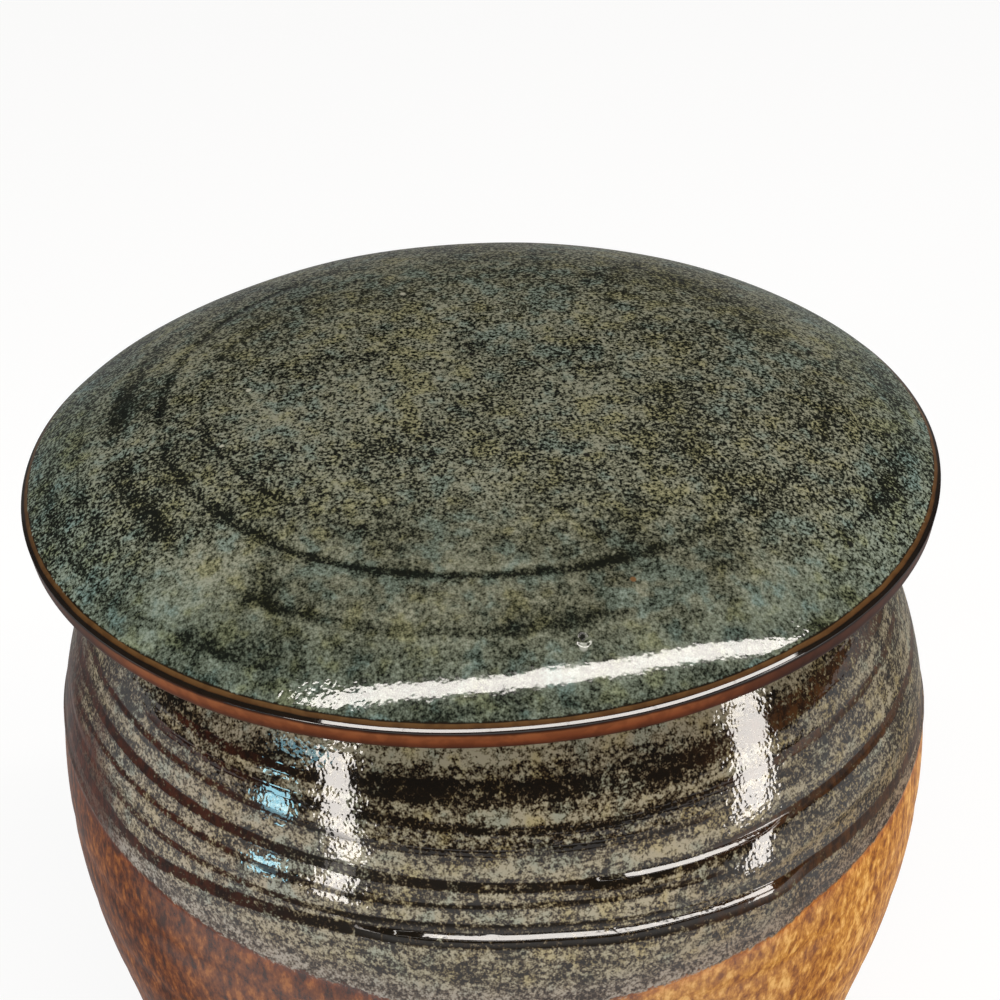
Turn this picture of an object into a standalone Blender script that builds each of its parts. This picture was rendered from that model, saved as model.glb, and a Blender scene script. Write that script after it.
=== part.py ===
"""A wheel-thrown stoneware jar with a broad lid that has no knob.

Two fired pieces: the jar, and the lid that rests on its rim and drops a
locating flange into its mouth. The potter's rim isn't quite level, so the lid
leans a little to the left, and it sits against the left of the mouth.

Metres, +Z up. The origin is the middle of the flat base, on the table. The
front of the jar faces -Y, and +X is to the right of someone who looks at it.
"""

import math

import bmesh
import bpy
from mathutils import Matrix, Vector

# Jar, outside. A drop is measured down from the rim, a height up from the table.
BODY_HEIGHT = 0.1112
RIM_RADIUS = 0.0474
SHOULDER_RADIUS = 0.0573
SHOULDER_DROP = 0.0192
BELLY_RADIUS = 0.0625
BELLY_DROP = 0.0452
HIP_RADIUS = 0.0565
HIP_HEIGHT = 0.0340
BASE_RADIUS = 0.0410
BASE_BEVEL = 0.0012

# How fast the wall widens or narrows on its way down, metres per metre.
SHOULDER_SLOPE = 0.45
HIP_SLOPE = -0.36
HEEL_SLOPE = -0.95

# Jar, inside.
WALL = 0.0045
FLOOR = 0.0065
FLOOR_CORNER = 0.0090

# The finger's grooves: (drop below the rim, depth), and their half width.
THROWING_GROOVES = (
    (0.0134, 0.0006),
    (0.0206, 0.0004),
    (0.0283, 0.0008),
    (0.0359, 0.0006),
    (0.0480, 0.0003),
    (0.0615, 0.0003),
)
GROOVE_HALF_WIDTH = 0.0016

# The grey-green glaze ends this far below the rim, over the amber one, and
# the base's last stretch is bare clay.
GLAZE_LINE_DROP = 0.0375
BARE_CLAY_HEIGHT = 0.0030

# The rim's lean, up to the right, and the height of wall that bends for it.
RIM_LEAN = math.radians(2.05)
LEAN_REACH = 0.0250

# Lid. Its widest line is the middle of its round edge.
LID_OVERHANG = 0.0176
LID_CROWN = 0.0172
LID_WALL = 0.0055
EDGE_RADIUS = 0.0025
EDGE_TURN = math.radians(53)
SEAT_RISE = 0.0035
SEAT_MARGIN = 0.0020
FLANGE_DEPTH = 0.0095
FLANGE_WALL = 0.0040
FLANGE_ROUND = 0.0015
LID_GROOVES = (
    (0.0527, 0.0005),
    (0.0446, 0.0007),
)

# Fits. The flange is smaller than the mouth by the clearance all round, and
# the lid has slid left until the gap there is the smaller one.
MOUTH_CLEARANCE = 0.0024
FLANGE_GAP = 0.0004
SEAT_GAP = 0.0003

# Facets: the count round a turned piece, and how closely its profile is drawn.
SEGMENTS = 60
WALL_STEP = 0.0050
INSIDE_STEP = 0.0100
ARC_STEPS = 5
SMALL_ARC_STEPS = 3
EDGE_STEPS = 10
DOME_STEPS = 12
CEILING_STEPS = 6
SHARP_CORNER = math.radians(40)
SAME_POINT = 1e-6

# Derived sizes that both pieces share.
MOUTH_RADIUS = RIM_RADIUS - WALL
FLANGE_RADIUS = MOUTH_RADIUS - MOUTH_CLEARANCE
LID_SHIFT = MOUTH_CLEARANCE - FLANGE_GAP
LID_RADIUS = RIM_RADIUS + LID_OVERHANG
LIP_RADIUS = WALL / 2


def clear_scene():
    for found in list(bpy.data.objects):
        bpy.data.objects.remove(found, do_unlink=True)


def glaze(name, colour, roughness):
    """A plain material with the piece's colour and gloss."""
    made = bpy.data.materials.new(name)
    made.use_nodes = True
    shader = made.node_tree.nodes["Principled BSDF"]
    shader.inputs["Base Color"].default_value = (*colour, 1.0)
    shader.inputs["Roughness"].default_value = roughness
    shader.inputs["Metallic"].default_value = 0.0
    return made


def wall_stations():
    """Radius, height and slope at the places that shape the jar's outside."""
    return (
        (BASE_RADIUS, BASE_BEVEL, HEEL_SLOPE),
        (HIP_RADIUS, HIP_HEIGHT, HIP_SLOPE),
        (BELLY_RADIUS, BODY_HEIGHT - BELLY_DROP, 0.0),
        (SHOULDER_RADIUS, BODY_HEIGHT - SHOULDER_DROP, SHOULDER_SLOPE),
        (RIM_RADIUS, BODY_HEIGHT, 0.0),
    )


def wall_radius(height):
    """The jar's outer radius: a smooth cubic from each station to the next."""
    stations = wall_stations()
    for (r0, z0, s0), (r1, z1, s1) in zip(stations, stations[1:]):
        if height <= z1:
            break
    span = z1 - z0
    t = (height - z0) / span
    # A slope is counted downwards, so it is turned round for the way up.
    start = -s0 * span
    end = -s1 * span
    return (
        r0 * (1 - 3 * t**2 + 2 * t**3)
        + r1 * (3 * t**2 - 2 * t**3)
        + start * (t - 2 * t**2 + t**3)
        + end * (t**3 - t**2)
    )


def groove_depth(place, grooves):
    """How deep the surface is pressed in at this drop or radius."""
    deepest = 0.0
    for middle, depth in grooves:
        off = abs(place - middle) / GROOVE_HALF_WIDTH
        if off < 1:
            deepest = max(deepest, depth * (1 + math.cos(math.pi * off)) / 2)
    return deepest


def sample_places(low, high, step, grooves):
    """Even places from low to high, and the edges and middle of each groove."""
    count = max(2, round((high - low) / step))
    places = [low + (high - low) * i / count for i in range(count + 1)]
    for middle, _ in grooves:
        edges = (middle - GROOVE_HALF_WIDTH, middle, middle + GROOVE_HALF_WIDTH)
        outside = [place for place in places if abs(place - middle) > GROOVE_HALF_WIDTH]
        places = outside + [edge for edge in edges if low < edge < high]
    return sorted({low, high, *places})


def arc(centre, radius, start, end, steps=ARC_STEPS):
    """Points (radius, height) round a centre, from one angle to another."""
    points = []
    for i in range(steps + 1):
        angle = start + (end - start) * i / steps
        points.append(
            (centre[0] + radius * math.cos(angle), centre[1] + radius * math.sin(angle))
        )
    return points


def jar_profile():
    """The jar's wall as points (radius, height), from the base's middle to the floor's."""
    points = [(0.0, 0.0), (BASE_RADIUS - BASE_BEVEL, 0.0)]
    lip_centre = BODY_HEIGHT - LIP_RADIUS
    drops = sample_places(
        LIP_RADIUS, BODY_HEIGHT - BASE_BEVEL, WALL_STEP, THROWING_GROOVES
    )
    for drop in reversed(drops):
        height = BODY_HEIGHT - drop
        points.append((wall_radius(height) - groove_depth(drop, THROWING_GROOVES), height))
    lip = arc((RIM_RADIUS - LIP_RADIUS, lip_centre), LIP_RADIUS, 0, math.pi)
    points += lip[1:]
    inside_bottom = FLOOR + FLOOR_CORNER
    heights = sample_places(inside_bottom, lip_centre, INSIDE_STEP, ())
    for height in reversed(heights[:-1]):
        points.append((wall_radius(height) - WALL, height))
    corner = (wall_radius(inside_bottom) - WALL - FLOOR_CORNER, inside_bottom)
    points += arc(corner, FLOOR_CORNER, 0, -math.pi / 2)[1:]
    points.append((0.0, FLOOR))
    return points


def dome_height(radius):
    """The lid's top above its widest line: flat in the middle, then falling to the edge."""
    edge_radius = LID_RADIUS - EDGE_RADIUS + EDGE_RADIUS * math.cos(EDGE_TURN)
    edge_height = EDGE_RADIUS * math.sin(EDGE_TURN)
    rise = LID_CROWN - edge_height
    # The power that makes the dome meet the round edge without a corner.
    power = edge_radius / (rise * math.tan(EDGE_TURN))
    return edge_height + rise * (1 - (radius / edge_radius) ** power)


def lid_profile():
    """The lid's wall as points (radius, height), from its underside's middle to its top's."""
    inner = FLANGE_RADIUS - FLANGE_WALL
    flange_end = SEAT_RISE - FLANGE_DEPTH
    points = []
    for i in range(CEILING_STEPS + 1):
        radius = inner * i / CEILING_STEPS
        points.append((radius, dome_height(radius) - LID_WALL))
    inner_foot = (inner + FLANGE_ROUND, flange_end + FLANGE_ROUND)
    outer_foot = (FLANGE_RADIUS - FLANGE_ROUND, flange_end + FLANGE_ROUND)
    points += arc(inner_foot, FLANGE_ROUND, math.pi, 1.5 * math.pi, SMALL_ARC_STEPS)
    points += arc(outer_foot, FLANGE_ROUND, -math.pi / 2, 0, SMALL_ARC_STEPS)
    points.append((FLANGE_RADIUS, SEAT_RISE))
    points.append((RIM_RADIUS + LID_SHIFT + SEAT_MARGIN, SEAT_RISE))
    edge_centre = (LID_RADIUS - EDGE_RADIUS, 0.0)
    points += arc(edge_centre, EDGE_RADIUS, -math.pi / 2, EDGE_TURN, EDGE_STEPS)
    edge_radius = points[-1][0]
    radii = sample_places(0.0, edge_radius, edge_radius / DOME_STEPS, LID_GROOVES)
    for radius in reversed(radii[:-1]):
        points.append((radius, dome_height(radius) - groove_depth(radius, LID_GROOVES)))
    return points


def turn(name, profile, materials):
    """Turns a profile round +Z into one closed, smooth piece."""
    mesh = bpy.data.meshes.new(name)
    turned = bmesh.new()
    points = [turned.verts.new((radius, 0.0, height)) for radius, height in profile]
    edges = [turned.edges.new(pair) for pair in zip(points, points[1:])]
    bmesh.ops.spin(
        turned,
        geom=points + edges,
        cent=(0, 0, 0),
        axis=(0, 0, 1),
        angle=2 * math.pi,
        steps=SEGMENTS,
        use_merge=True,
    )
    bmesh.ops.remove_doubles(turned, verts=turned.verts, dist=SAME_POINT)
    bmesh.ops.recalc_face_normals(turned, faces=turned.faces)
    turned.to_mesh(mesh)
    turned.free()
    mesh.shade_smooth()
    mesh.set_sharp_from_angle(angle=SHARP_CORNER)
    for material in materials:
        mesh.materials.append(material)
    piece = bpy.data.objects.new(name, mesh)
    bpy.context.scene.collection.objects.link(piece)
    return piece


def lean_rim(piece):
    """Lifts the rim's right and lowers its left, fading out down the wall."""
    bottom = BODY_HEIGHT - LEAN_REACH
    for vertex in piece.data.vertices:
        share = min(1.0, max(0.0, (vertex.co.z - bottom) / (LEAN_REACH - LIP_RADIUS)))
        blend = share**2 * (3 - 2 * share)
        vertex.co.z += vertex.co.x * math.tan(RIM_LEAN) * blend


def paint_by_height(piece, limits):
    """Gives each face the material of the first limit that its middle is under."""
    for face in piece.data.polygons:
        face.material_index = sum(face.center.z > limit for limit in limits)


def make_jar():
    clay = glaze("bare_clay", (0.42, 0.25, 0.15), 0.85)
    amber = glaze("amber_glaze", (0.40, 0.20, 0.07), 0.30)
    grey_green = glaze("grey_green_glaze", (0.14, 0.14, 0.10), 0.28)
    jar = turn("jar_body", jar_profile(), (clay, amber, grey_green))
    paint_by_height(jar, (BARE_CLAY_HEIGHT, BODY_HEIGHT - GLAZE_LINE_DROP))
    lean_rim(jar)
    return jar


def make_lid():
    grey_green = glaze("lid_glaze", (0.13, 0.13, 0.10), 0.25)
    lid = turn("lid", lid_profile(), (grey_green,))
    # Up to the right is a negative turn about +Y.
    lean = Matrix.Rotation(-RIM_LEAN, 4, "Y")
    seat = lean @ Vector((-LID_SHIFT, 0.0, SEAT_GAP - SEAT_RISE))
    lid.rotation_euler = lean.to_euler()
    lid.location = Vector((0.0, 0.0, BODY_HEIGHT)) + seat
    return lid


clear_scene()
make_jar()
make_lid()
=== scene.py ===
# %% [markdown]
# # A stoneware jar with a broad lid
# This lesson dresses a finished CAD model of a wheel-thrown jar. The solids already have the right
# sizes, so they are loaded as a fixed frame and everything new is made round them. A thrown pot has no
# seams or screws to show: its looks are the marks of the potter's fingers, the way the glaze pools and
# breaks over them, and thousands of specks. Those are what the cells below make.

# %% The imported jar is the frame
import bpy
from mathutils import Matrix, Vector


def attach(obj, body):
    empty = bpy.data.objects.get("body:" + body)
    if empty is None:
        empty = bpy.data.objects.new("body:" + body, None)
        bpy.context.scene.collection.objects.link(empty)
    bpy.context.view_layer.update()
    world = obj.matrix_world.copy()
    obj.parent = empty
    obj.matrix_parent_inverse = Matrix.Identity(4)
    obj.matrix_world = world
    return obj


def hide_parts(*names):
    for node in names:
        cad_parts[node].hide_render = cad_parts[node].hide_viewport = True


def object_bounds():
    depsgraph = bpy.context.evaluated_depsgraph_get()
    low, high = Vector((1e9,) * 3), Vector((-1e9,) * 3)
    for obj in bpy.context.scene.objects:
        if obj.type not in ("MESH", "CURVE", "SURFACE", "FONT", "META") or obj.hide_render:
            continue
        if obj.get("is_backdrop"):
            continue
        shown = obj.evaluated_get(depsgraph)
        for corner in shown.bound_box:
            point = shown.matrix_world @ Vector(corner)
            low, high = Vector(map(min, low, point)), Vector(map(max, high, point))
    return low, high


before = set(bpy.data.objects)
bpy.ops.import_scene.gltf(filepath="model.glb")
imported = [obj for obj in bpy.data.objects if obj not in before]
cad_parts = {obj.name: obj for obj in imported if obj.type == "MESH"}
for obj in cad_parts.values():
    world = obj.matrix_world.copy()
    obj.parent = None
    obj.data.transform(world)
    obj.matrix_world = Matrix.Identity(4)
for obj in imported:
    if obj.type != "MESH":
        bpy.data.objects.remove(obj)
cad_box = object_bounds()
print("Frame:", sorted(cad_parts), "box", [tuple(round(c, 4) for c in corner) for corner in cad_box])

# %% The modules that the lesson needs
import math

import bpy
import numpy as np
from mathutils import Matrix, Vector
from mathutils.bvhtree import BVHTree

MM = 0.001

# %% [markdown]
# ## Turning a profile
# A potter shapes half an outline and the wheel does the rest, and Blender's Spin tool works the same
# way. The outline is drawn as a chain of points: one vertex, extruded again and again. It could also be
# a Screw modifier, but Spin leaves plain rings of vertices, and the next step needs to push single
# vertices about. The first and last ring of a full turn lie on each other, so they are merged, and only
# then are the normals made to point outwards.

# %% A lathe: draw the outline, spin it
SEGMENTS = 288
SAME_POINT = 1e-6


def turn_on_wheel(name, outline):
    """One closed piece from an outline of points (radius, height), turned round +Z."""
    bpy.ops.object.select_all(action="DESELECT")
    bpy.ops.mesh.primitive_plane_add(size=MM, location=(0, 0, 0))
    piece = bpy.context.object
    piece.name = name
    piece.data.name = name
    bpy.ops.object.mode_set(mode="EDIT")
    bpy.ops.mesh.select_mode(type="VERT")
    bpy.ops.mesh.select_all(action="SELECT")
    bpy.ops.mesh.merge(type="CENTER")
    bpy.ops.transform.translate(value=(outline[0][0], 0, outline[0][1]))
    for (r0, z0), (r1, z1) in zip(outline, outline[1:]):
        step = {"value": (r1 - r0, 0, z1 - z0)}
        bpy.ops.mesh.extrude_vertices_move(TRANSFORM_OT_translate=step)
    bpy.ops.mesh.select_all(action="SELECT")
    bpy.ops.mesh.spin(steps=SEGMENTS, angle=2 * math.pi, center=(0, 0, 0), axis=(0, 0, 1))
    bpy.ops.mesh.select_all(action="SELECT")
    bpy.ops.mesh.remove_doubles(threshold=SAME_POINT)
    bpy.ops.mesh.normals_make_consistent(inside=False)
    bpy.ops.object.mode_set(mode="OBJECT")
    print(name, "turned:", len(piece.data.vertices), "vertices,", len(piece.data.polygons), "faces")
    return piece


def arc(centre, radius, start, end, steps):
    """Points (radius, height) round a centre, from one angle in degrees to another."""
    angles = np.radians(np.linspace(start, end, steps + 1))
    return [(centre[0] + radius * math.cos(a), centre[1] + radius * math.sin(a)) for a in angles]


# %% [markdown]
# ## The jar's outline
# The solid has a limited number of facets from foot to rim. The real wall is one smooth sweep, so the
# same curve is drawn again from the same sizes, with points a tenth of a millimetre apart where the
# ledges are, so that those can be real shape. A subdivision modifier on the solid would round its sharp
# foot and lip as well, and it could not put points where the marks are.

# %% The sizes that the solid was drawn with
BODY_HEIGHT = 111.2 * MM
RIM_RADIUS = 47.4 * MM
BASE_RADIUS = 41.0 * MM
BASE_BEVEL = 1.2 * MM
WALL = 4.5 * MM
FLOOR = 6.5 * MM
FLOOR_CORNER = 9.0 * MM
LIP_RADIUS = WALL / 2

# Radius, height and how fast the wall narrows on its way up, from the foot to the rim.
WALL_STATIONS = (
    (BASE_RADIUS, BASE_BEVEL, -0.95),
    (56.5 * MM, 34.0 * MM, -0.36),
    (62.5 * MM, 66.0 * MM, 0.0),
    (57.3 * MM, 92.0 * MM, 0.45),
    (RIM_RADIUS, BODY_HEIGHT, 0.0),
)


def ease(share):
    """0 to 1 with a soft start and end."""
    share = np.clip(share, 0.0, 1.0)
    return share * share * (3 - 2 * share)


def cubic(t, start, end, start_slope, end_slope):
    """A smooth curve from one value to another that leaves and arrives at the given slopes."""
    return (
        start * (1 - 3 * t**2 + 2 * t**3)
        + end * (3 * t**2 - 2 * t**3)
        + start_slope * (t - 2 * t**2 + t**3)
        + end_slope * (t**3 - t**2)
    )


def wall_radius(height):
    """The wall's outer radius at each height."""
    height = np.asarray(height, float)
    radius = np.zeros_like(height)
    for (r0, z0, s0), (r1, z1, s1) in zip(WALL_STATIONS, WALL_STATIONS[1:]):
        span = z1 - z0
        here = (height >= z0) & (height <= z1)
        radius = np.where(here, cubic((height - z0) / span, r0, r1, -s0 * span, -s1 * span), radius)
    return radius


# %% Draw the jar's outline, outside up and inside down
BASE_POINTS = 12
BEVEL_STEPS = 5
LIP_STEPS = 12
INSIDE_POINTS = 24
CORNER_STEPS = 8
FLOOR_POINTS = 10
# From each height up, how far apart the rings lie: closest where the ledges are.
RING_STEPS = (
    (BASE_BEVEL, 1.2 * MM), (62 * MM, 0.45 * MM), (72.2 * MM, 0.10 * MM), (74.6 * MM, 0.35 * MM),
    (80.6 * MM, 0.09 * MM), (84.2 * MM, 0.34 * MM), (99 * MM, 0.7 * MM),
)

lip_centre = BODY_HEIGHT - LIP_RADIUS
inside_bottom = FLOOR + FLOOR_CORNER
base_flat = BASE_RADIUS - BASE_BEVEL

jar_outline = [(radius, 0.0) for radius in np.linspace(0, base_flat, BASE_POINTS)]
jar_outline += arc((base_flat, BASE_BEVEL), BASE_BEVEL, -90, 0, BEVEL_STEPS)[1:-1]
ring_ends = [start for start, step in RING_STEPS[1:]] + [lip_centre]
outside = [BASE_BEVEL]
for (start, step), end in zip(RING_STEPS, ring_ends):
    outside.extend(np.linspace(start, end, round((end - start) / step) + 1)[1:])
outside = np.array(outside)
jar_outline += list(zip(wall_radius(outside), outside))
jar_outline += arc((RIM_RADIUS - LIP_RADIUS, lip_centre), LIP_RADIUS, 0, 180, LIP_STEPS)[1:]
inside = np.linspace(lip_centre, inside_bottom, INSIDE_POINTS)[1:]
jar_outline += list(zip(wall_radius(inside) - WALL, inside))
corner = (float(wall_radius(inside_bottom)) - WALL - FLOOR_CORNER, inside_bottom)
jar_outline += arc(corner, FLOOR_CORNER, 0, -90, CORNER_STEPS)[1:]
jar_outline += [(radius, FLOOR) for radius in np.linspace(corner[0], 0, FLOOR_POINTS)[1:]]
print("The jar's outline has", len(jar_outline), "points")

jar = turn_on_wheel("glazed_jar", jar_outline)

# %% [markdown]
# ## Lines that fingers leave
# A finger that rises while the wheel turns presses a shallow spiral, and between two passes the clay
# stands up in a low ridge. No two are alike: each starts somewhere, climbs, fades and is caught by the
# next. A wave texture would make them all the same, so each line is written down on its own, as a few
# points (angle, place) that a smooth curve joins. The angle is 0 at the front and grows to the right.
# The place is a height on the jar and a radius on the lid.

# %% A line round a pot, through a few given points
def line_at(angle, points):
    """The line's place at each angle: a smooth curve through its points, level beyond its ends."""
    angles = np.array([p[0] for p in points], float)
    places = np.array([p[1] for p in points], float)
    slopes = np.gradient(places, angles)
    angle = np.clip(angle, angles[0], angles[-1])
    index = np.clip(np.searchsorted(angles, angle, side="right") - 1, 0, len(angles) - 2)
    span = angles[index + 1] - angles[index]
    t = (angle - angles[index]) / span
    start_slope = slopes[index] * span
    end_slope = slopes[index + 1] * span
    return cubic(t, places[index], places[index + 1], start_slope, end_slope)


def stroke(angle, place, points, half_width, fade=10.0):
    """1 on the line, 0 beside it and beyond its ends."""
    off = (place - line_at(angle, points)) / half_width
    across = np.where(np.abs(off) < 1, (1 + np.cos(np.pi * np.clip(off, -1, 1))) / 2, 0)
    first, last = points[0][0], points[-1][0]
    if last - first >= 360:
        return across
    along = ease((angle - first) / fade) * ease((last - angle) / fade)
    return across * along


# %% [markdown]
# ## The jar's throwing lines
# Each line has a dark crest, where the glaze ran thin over the ridge and the iron in the clay shows, and
# beside some lies a pale valley, where the glaze is thick, made paler still by a painted reflection in
# the valley's tilted flank. Both are kept as an attribute of the mesh, which the glaze reads later. As
# shape they are only a few hundredths of a millimetre. What bends the reflections are the ledges, where a
# finger stopped and the wall steps out under it: those are real shape, and a flat top leans just so far
# that a light shows in it as a level streak.

# %% The jar's lines, in degrees and millimetres above the table
SHOULDER_BAND = ((-27, 93.0), (-15, 93.3), (4, 93.4), (17, 93.5))
SHOULDER_BAND_RIGHT = ((14, 93.8), (35, 94.0), (60, 94.8), (84, 94.6))
SHOULDER_BAND_LEFT = ((-54, 92.8), (-40, 92.4), (-25, 92.6), (-12, 93.0))
COLLAR_LINE = (
    (-60, 90.3), (-40, 89.7), (-20, 89.2), (0, 88.6), (15, 88.3), (25, 89.0), (42, 89.6), (60, 90.0),
    (85, 91.4),
)
SECOND_LINE = ((-85, 88.6), (-65, 88.2), (-48, 87.2), (-30, 86.4), (-10, 85.5), (10, 85.8), (34, 86.3))
MAIN_LINE = (
    (-180, 85.6), (-130, 86.6), (-80, 85.6), (-65, 84.1), (-45, 82.6), (-25, 81.6), (0, 80.8),
    (20, 80.8), (37, 81.8), (55, 82.6), (75, 83.2), (120, 84.8), (180, 85.6),
)
THIRD_LINE = ((-82, 82.0), (-60, 80.4), (-40, 79.2), (-20, 78.0), (0, 78.0), (20, 78.4), (34, 78.3))
WAIST_LINE = ((-86, 79.4), (-65, 77.0), (-45, 75.6), (-25, 75.0), (0, 74.8), (28, 74.9))
LOWER_BAND = (
    (-180, 76.0), (-110, 77.0), (-75, 75.8), (-62, 72.8), (-50, 71.3), (-38, 72.1), (-20, 72.9),
    (5, 73.2), (35, 72.6), (55, 73.2), (75, 73.6), (130, 74.6), (180, 76.0),
)
# Just under the lid: a pale band, partly paler glaze and partly painted light where the lid shades the neck.
NECK_PAINTED_LIGHT_BAND = ((-60, 97.4), (0, 97.8), (50, 98.2), (80, 98.4))
BACK_SHOULDER = ((95, 95.2), (140, 93.6), (179, 92.4))
BACK_SHOULDER_LEFT = ((-179, 92.4), (-140, 94.4), (-100, 94.2))
BACK_COLLAR = ((-175, 89.2), (-120, 90.4), (-70, 90.4))

# Points, half width, how dark it turns the glaze, ridge height, all in millimetres but the darkness.
JAR_LINES = (
    (SHOULDER_BAND, 2.5, 1.40, 0.03),
    (SHOULDER_BAND_RIGHT, 2.2, 1.15, 0.03),
    (SHOULDER_BAND_LEFT, 1.1, 1.25, 0.02),
    (COLLAR_LINE, 1.0, 1.05, 0.03),
    (SECOND_LINE, 0.9, 1.00, 0.03),
    (MAIN_LINE, 1.2, 1.60, 0.00),
    (THIRD_LINE, 0.8, 1.00, 0.00),
    (WAIST_LINE, 0.9, 1.20, 0.00),
    (LOWER_BAND, 1.6, 1.75, 0.00),
    (BACK_SHOULDER, 2.2, 1.30, 0.05),
    (BACK_SHOULDER_LEFT, 2.0, 1.20, 0.05),
    (BACK_COLLAR, 1.0, 0.90, 0.08),
)

# A valley lies this far above its line, and one with a minus lies below it: points, rise, half width,
# depth, how much paler. The paleness is partly thick glaze and partly painted reflection.
JAR_VALLEYS_AND_SHEEN = (
    (NECK_PAINTED_LIGHT_BAND, 0.0, 1.9, 0.05, 1.90),
    (COLLAR_LINE, 1.7, 1.2, 0.03, 0.90),
    (MAIN_LINE, 2.3, 1.4, 0.00, 1.05),
    (THIRD_LINE, -1.5, 1.1, 0.00, 0.80),
    (LOWER_BAND, 3.1, 1.0, 0.00, 0.90),
)

# Where a finger stopped, the wall steps out under it: a narrow ledge, and under that a slow swell.
MAIN_LEDGE_RIGHT = ((6, 81.5), (20, 81.4), (32, 81.5), (44, 82.3), (55, 83.1), (75, 83.7))
MAIN_LEDGE_LEFT = ((-84, 86.0), (-65, 84.4), (-45, 83.0), (-25, 82.0), (-6, 81.4))
LOWER_LEDGE = ((-20, 73.8), (0, 73.9), (15, 73.9), (30, 73.8), (44, 73.6), (56, 73.5))

# How steeply the wall leaves its plain course round a ledge: the place in millimetres above it, and the
# slope outwards on the way down.
RIGHT_SWELL_SLOPES = (
    (5.0, 0), (4.0, -0.02), (0.3, -0.02), (0.0, 0), (-0.65, 0), (-0.7, 0.35), (-1.1, 0.20), (-2.4, 0.13),
    (-5.0, 0.11), (-5.3, 0), (-5.5, -0.30), (-6.8, -0.30), (-7.0, 0), (-9.4, 0), (-20.0, 0),
)
LEFT_SWELL_SLOPES = (
    (5.0, 0), (4.0, -0.02), (0.3, -0.02), (0.0, 0.05), (-2.0, 0.08), (-3.0, 0.17), (-4.8, 0.16),
    (-5.6, 0), (-5.8, -0.20), (-6.8, -0.20), (-7.0, 0), (-9.4, 0), (-20.0, 0),
)
LOWER_SWELL_SLOPES = (
    (2.0, 0), (0.3, 0), (-0.64, 0), (-0.7, 0.28), (-1.1, 0.16), (-2.5, 0.08), (-4.0, 0.04), (-5.0, 0),
    (-20.0, 0),
)
# Points, the swell's slopes, how wide the ledge's flat top is, and at which angle that has run out.
LEDGES = (
    (MAIN_LEDGE_RIGHT, RIGHT_SWELL_SLOPES, 0.92, 45),
    (MAIN_LEDGE_LEFT, LEFT_SWELL_SLOPES, 0.0, 0),
    (LOWER_LEDGE, LOWER_SWELL_SLOPES, 1.05, 46),
)
# The flat top faces up by this many degrees, at a few angles round the jar.
LEDGE_TILTS = (
    (-35, 50.3), (-25, 53.4), (-15, 56.8), (0, 58.6), (10, 59.4), (20, 59.3), (30, 58.2), (35, 57.1),
    (40, 55.5), (75, 50.0),
)

# Low on the jar, where the photograph doesn't reach, a few shallow grooves without a colour of their own.
FOOT_LINES = (
    ((-180, 58.0), (-60, 57.2), (60, 58.4), (180, 58.0)),
    ((-180, 47.4), (0, 45.8), (180, 47.4)),
    ((-180, 35.5), (40, 36.6), (180, 35.5)),
    ((-180, 21.0), (-40, 20.2), (180, 21.0)),
)
FOOT_LINE_DEPTH = 0.22
FOOT_LINE_HALF_WIDTH = 2.0

# What is left of a swell is taken back below this place, in millimetres above the ledge.
SWELL_END = -9.5
# A ledge fades over this many degrees at its ends, and its flat top over fewer.
LEDGE_FADE = 12
FLAT_FADE = 9
# The flat top's own step out lasts for this much wall below it, and fades over this much more.
STEP_END = 9.6
STEP_FADE = 12

# %% [markdown]
# ## Where the grey-green glaze ends
# The jar was dipped twice: first in an amber glaze, then, mouth down, in the grey-green one, which ends
# in a line about the belly and stands a little proud of the amber. The dip was slanted, so the line
# hangs low at the front and climbs at the sides.

# %% The line between the two glazes
GLAZE_LINE = (
    (-180, 70.5), (-140, 73.0), (-100, 73.2), (-72, 70.2), (-50, 67.0), (-35, 64.8), (-10, 62.6),
    (12, 62.6), (34, 65.4), (56, 67.8), (74, 70.4), (105, 72.6), (145, 69.4), (180, 70.5),
)
# It ends in a roll: how proud, how far above the line, half width.
GLAZE_ROLL = 0.22
GLAZE_ROLL_RISE = 0.4
GLAZE_ROLL_HALF_WIDTH = 1.1


# %% Read a mesh's points, and write numbers back to it
def read_points(piece):
    """The mesh's vertices as an array."""
    points = np.zeros(len(piece.data.vertices) * 3)
    piece.data.vertices.foreach_get("co", points)
    return points.reshape(-1, 3)


def write_points(piece, points):
    """Puts the array back into the mesh."""
    piece.data.vertices.foreach_set("co", points.ravel())
    piece.data.update()


def keep_attribute(piece, name, values):
    """A number for each vertex, which the material reads by its name."""
    attribute = piece.data.attributes.new(name, "FLOAT", "POINT")
    attribute.data.foreach_set("value", np.asarray(values, np.float32))


def front_angle(points):
    """Degrees round the pot: 0 at the front, 90 at the right."""
    return np.degrees(np.arctan2(points[:, 0], -points[:, 1]))


# %% A ledge and the swell under it
def wall_lean(height):
    """How far the wall draws in for each step upwards."""
    heights = np.linspace(BASE_BEVEL, lip_centre, 600)
    return np.interp(height, heights, -np.gradient(wall_radius(heights), heights))


def swell(off, slopes):
    """The offset that slopes add up to, from the highest place down to each point."""
    places = np.array([p[0] for p in slopes], float)
    steep = np.array([p[1] for p in slopes], float)
    parts = (steep[1:] + steep[:-1]) / 2 * (places[:-1] - places[1:])
    fine_places = np.linspace(places[-1], places[0], 1200)
    fine_slopes = np.interp(fine_places, places[::-1], steep[::-1])
    step = fine_places[1] - fine_places[0]
    total = np.cumsum(fine_slopes[::-1])[::-1] * step
    # What is left over is taken back slowly, to the wall's plain course.
    total -= parts.sum() * ease((SWELL_END - fine_places) / (SWELL_END - fine_places[0]))
    return np.interp(off, fine_places, total)


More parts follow.
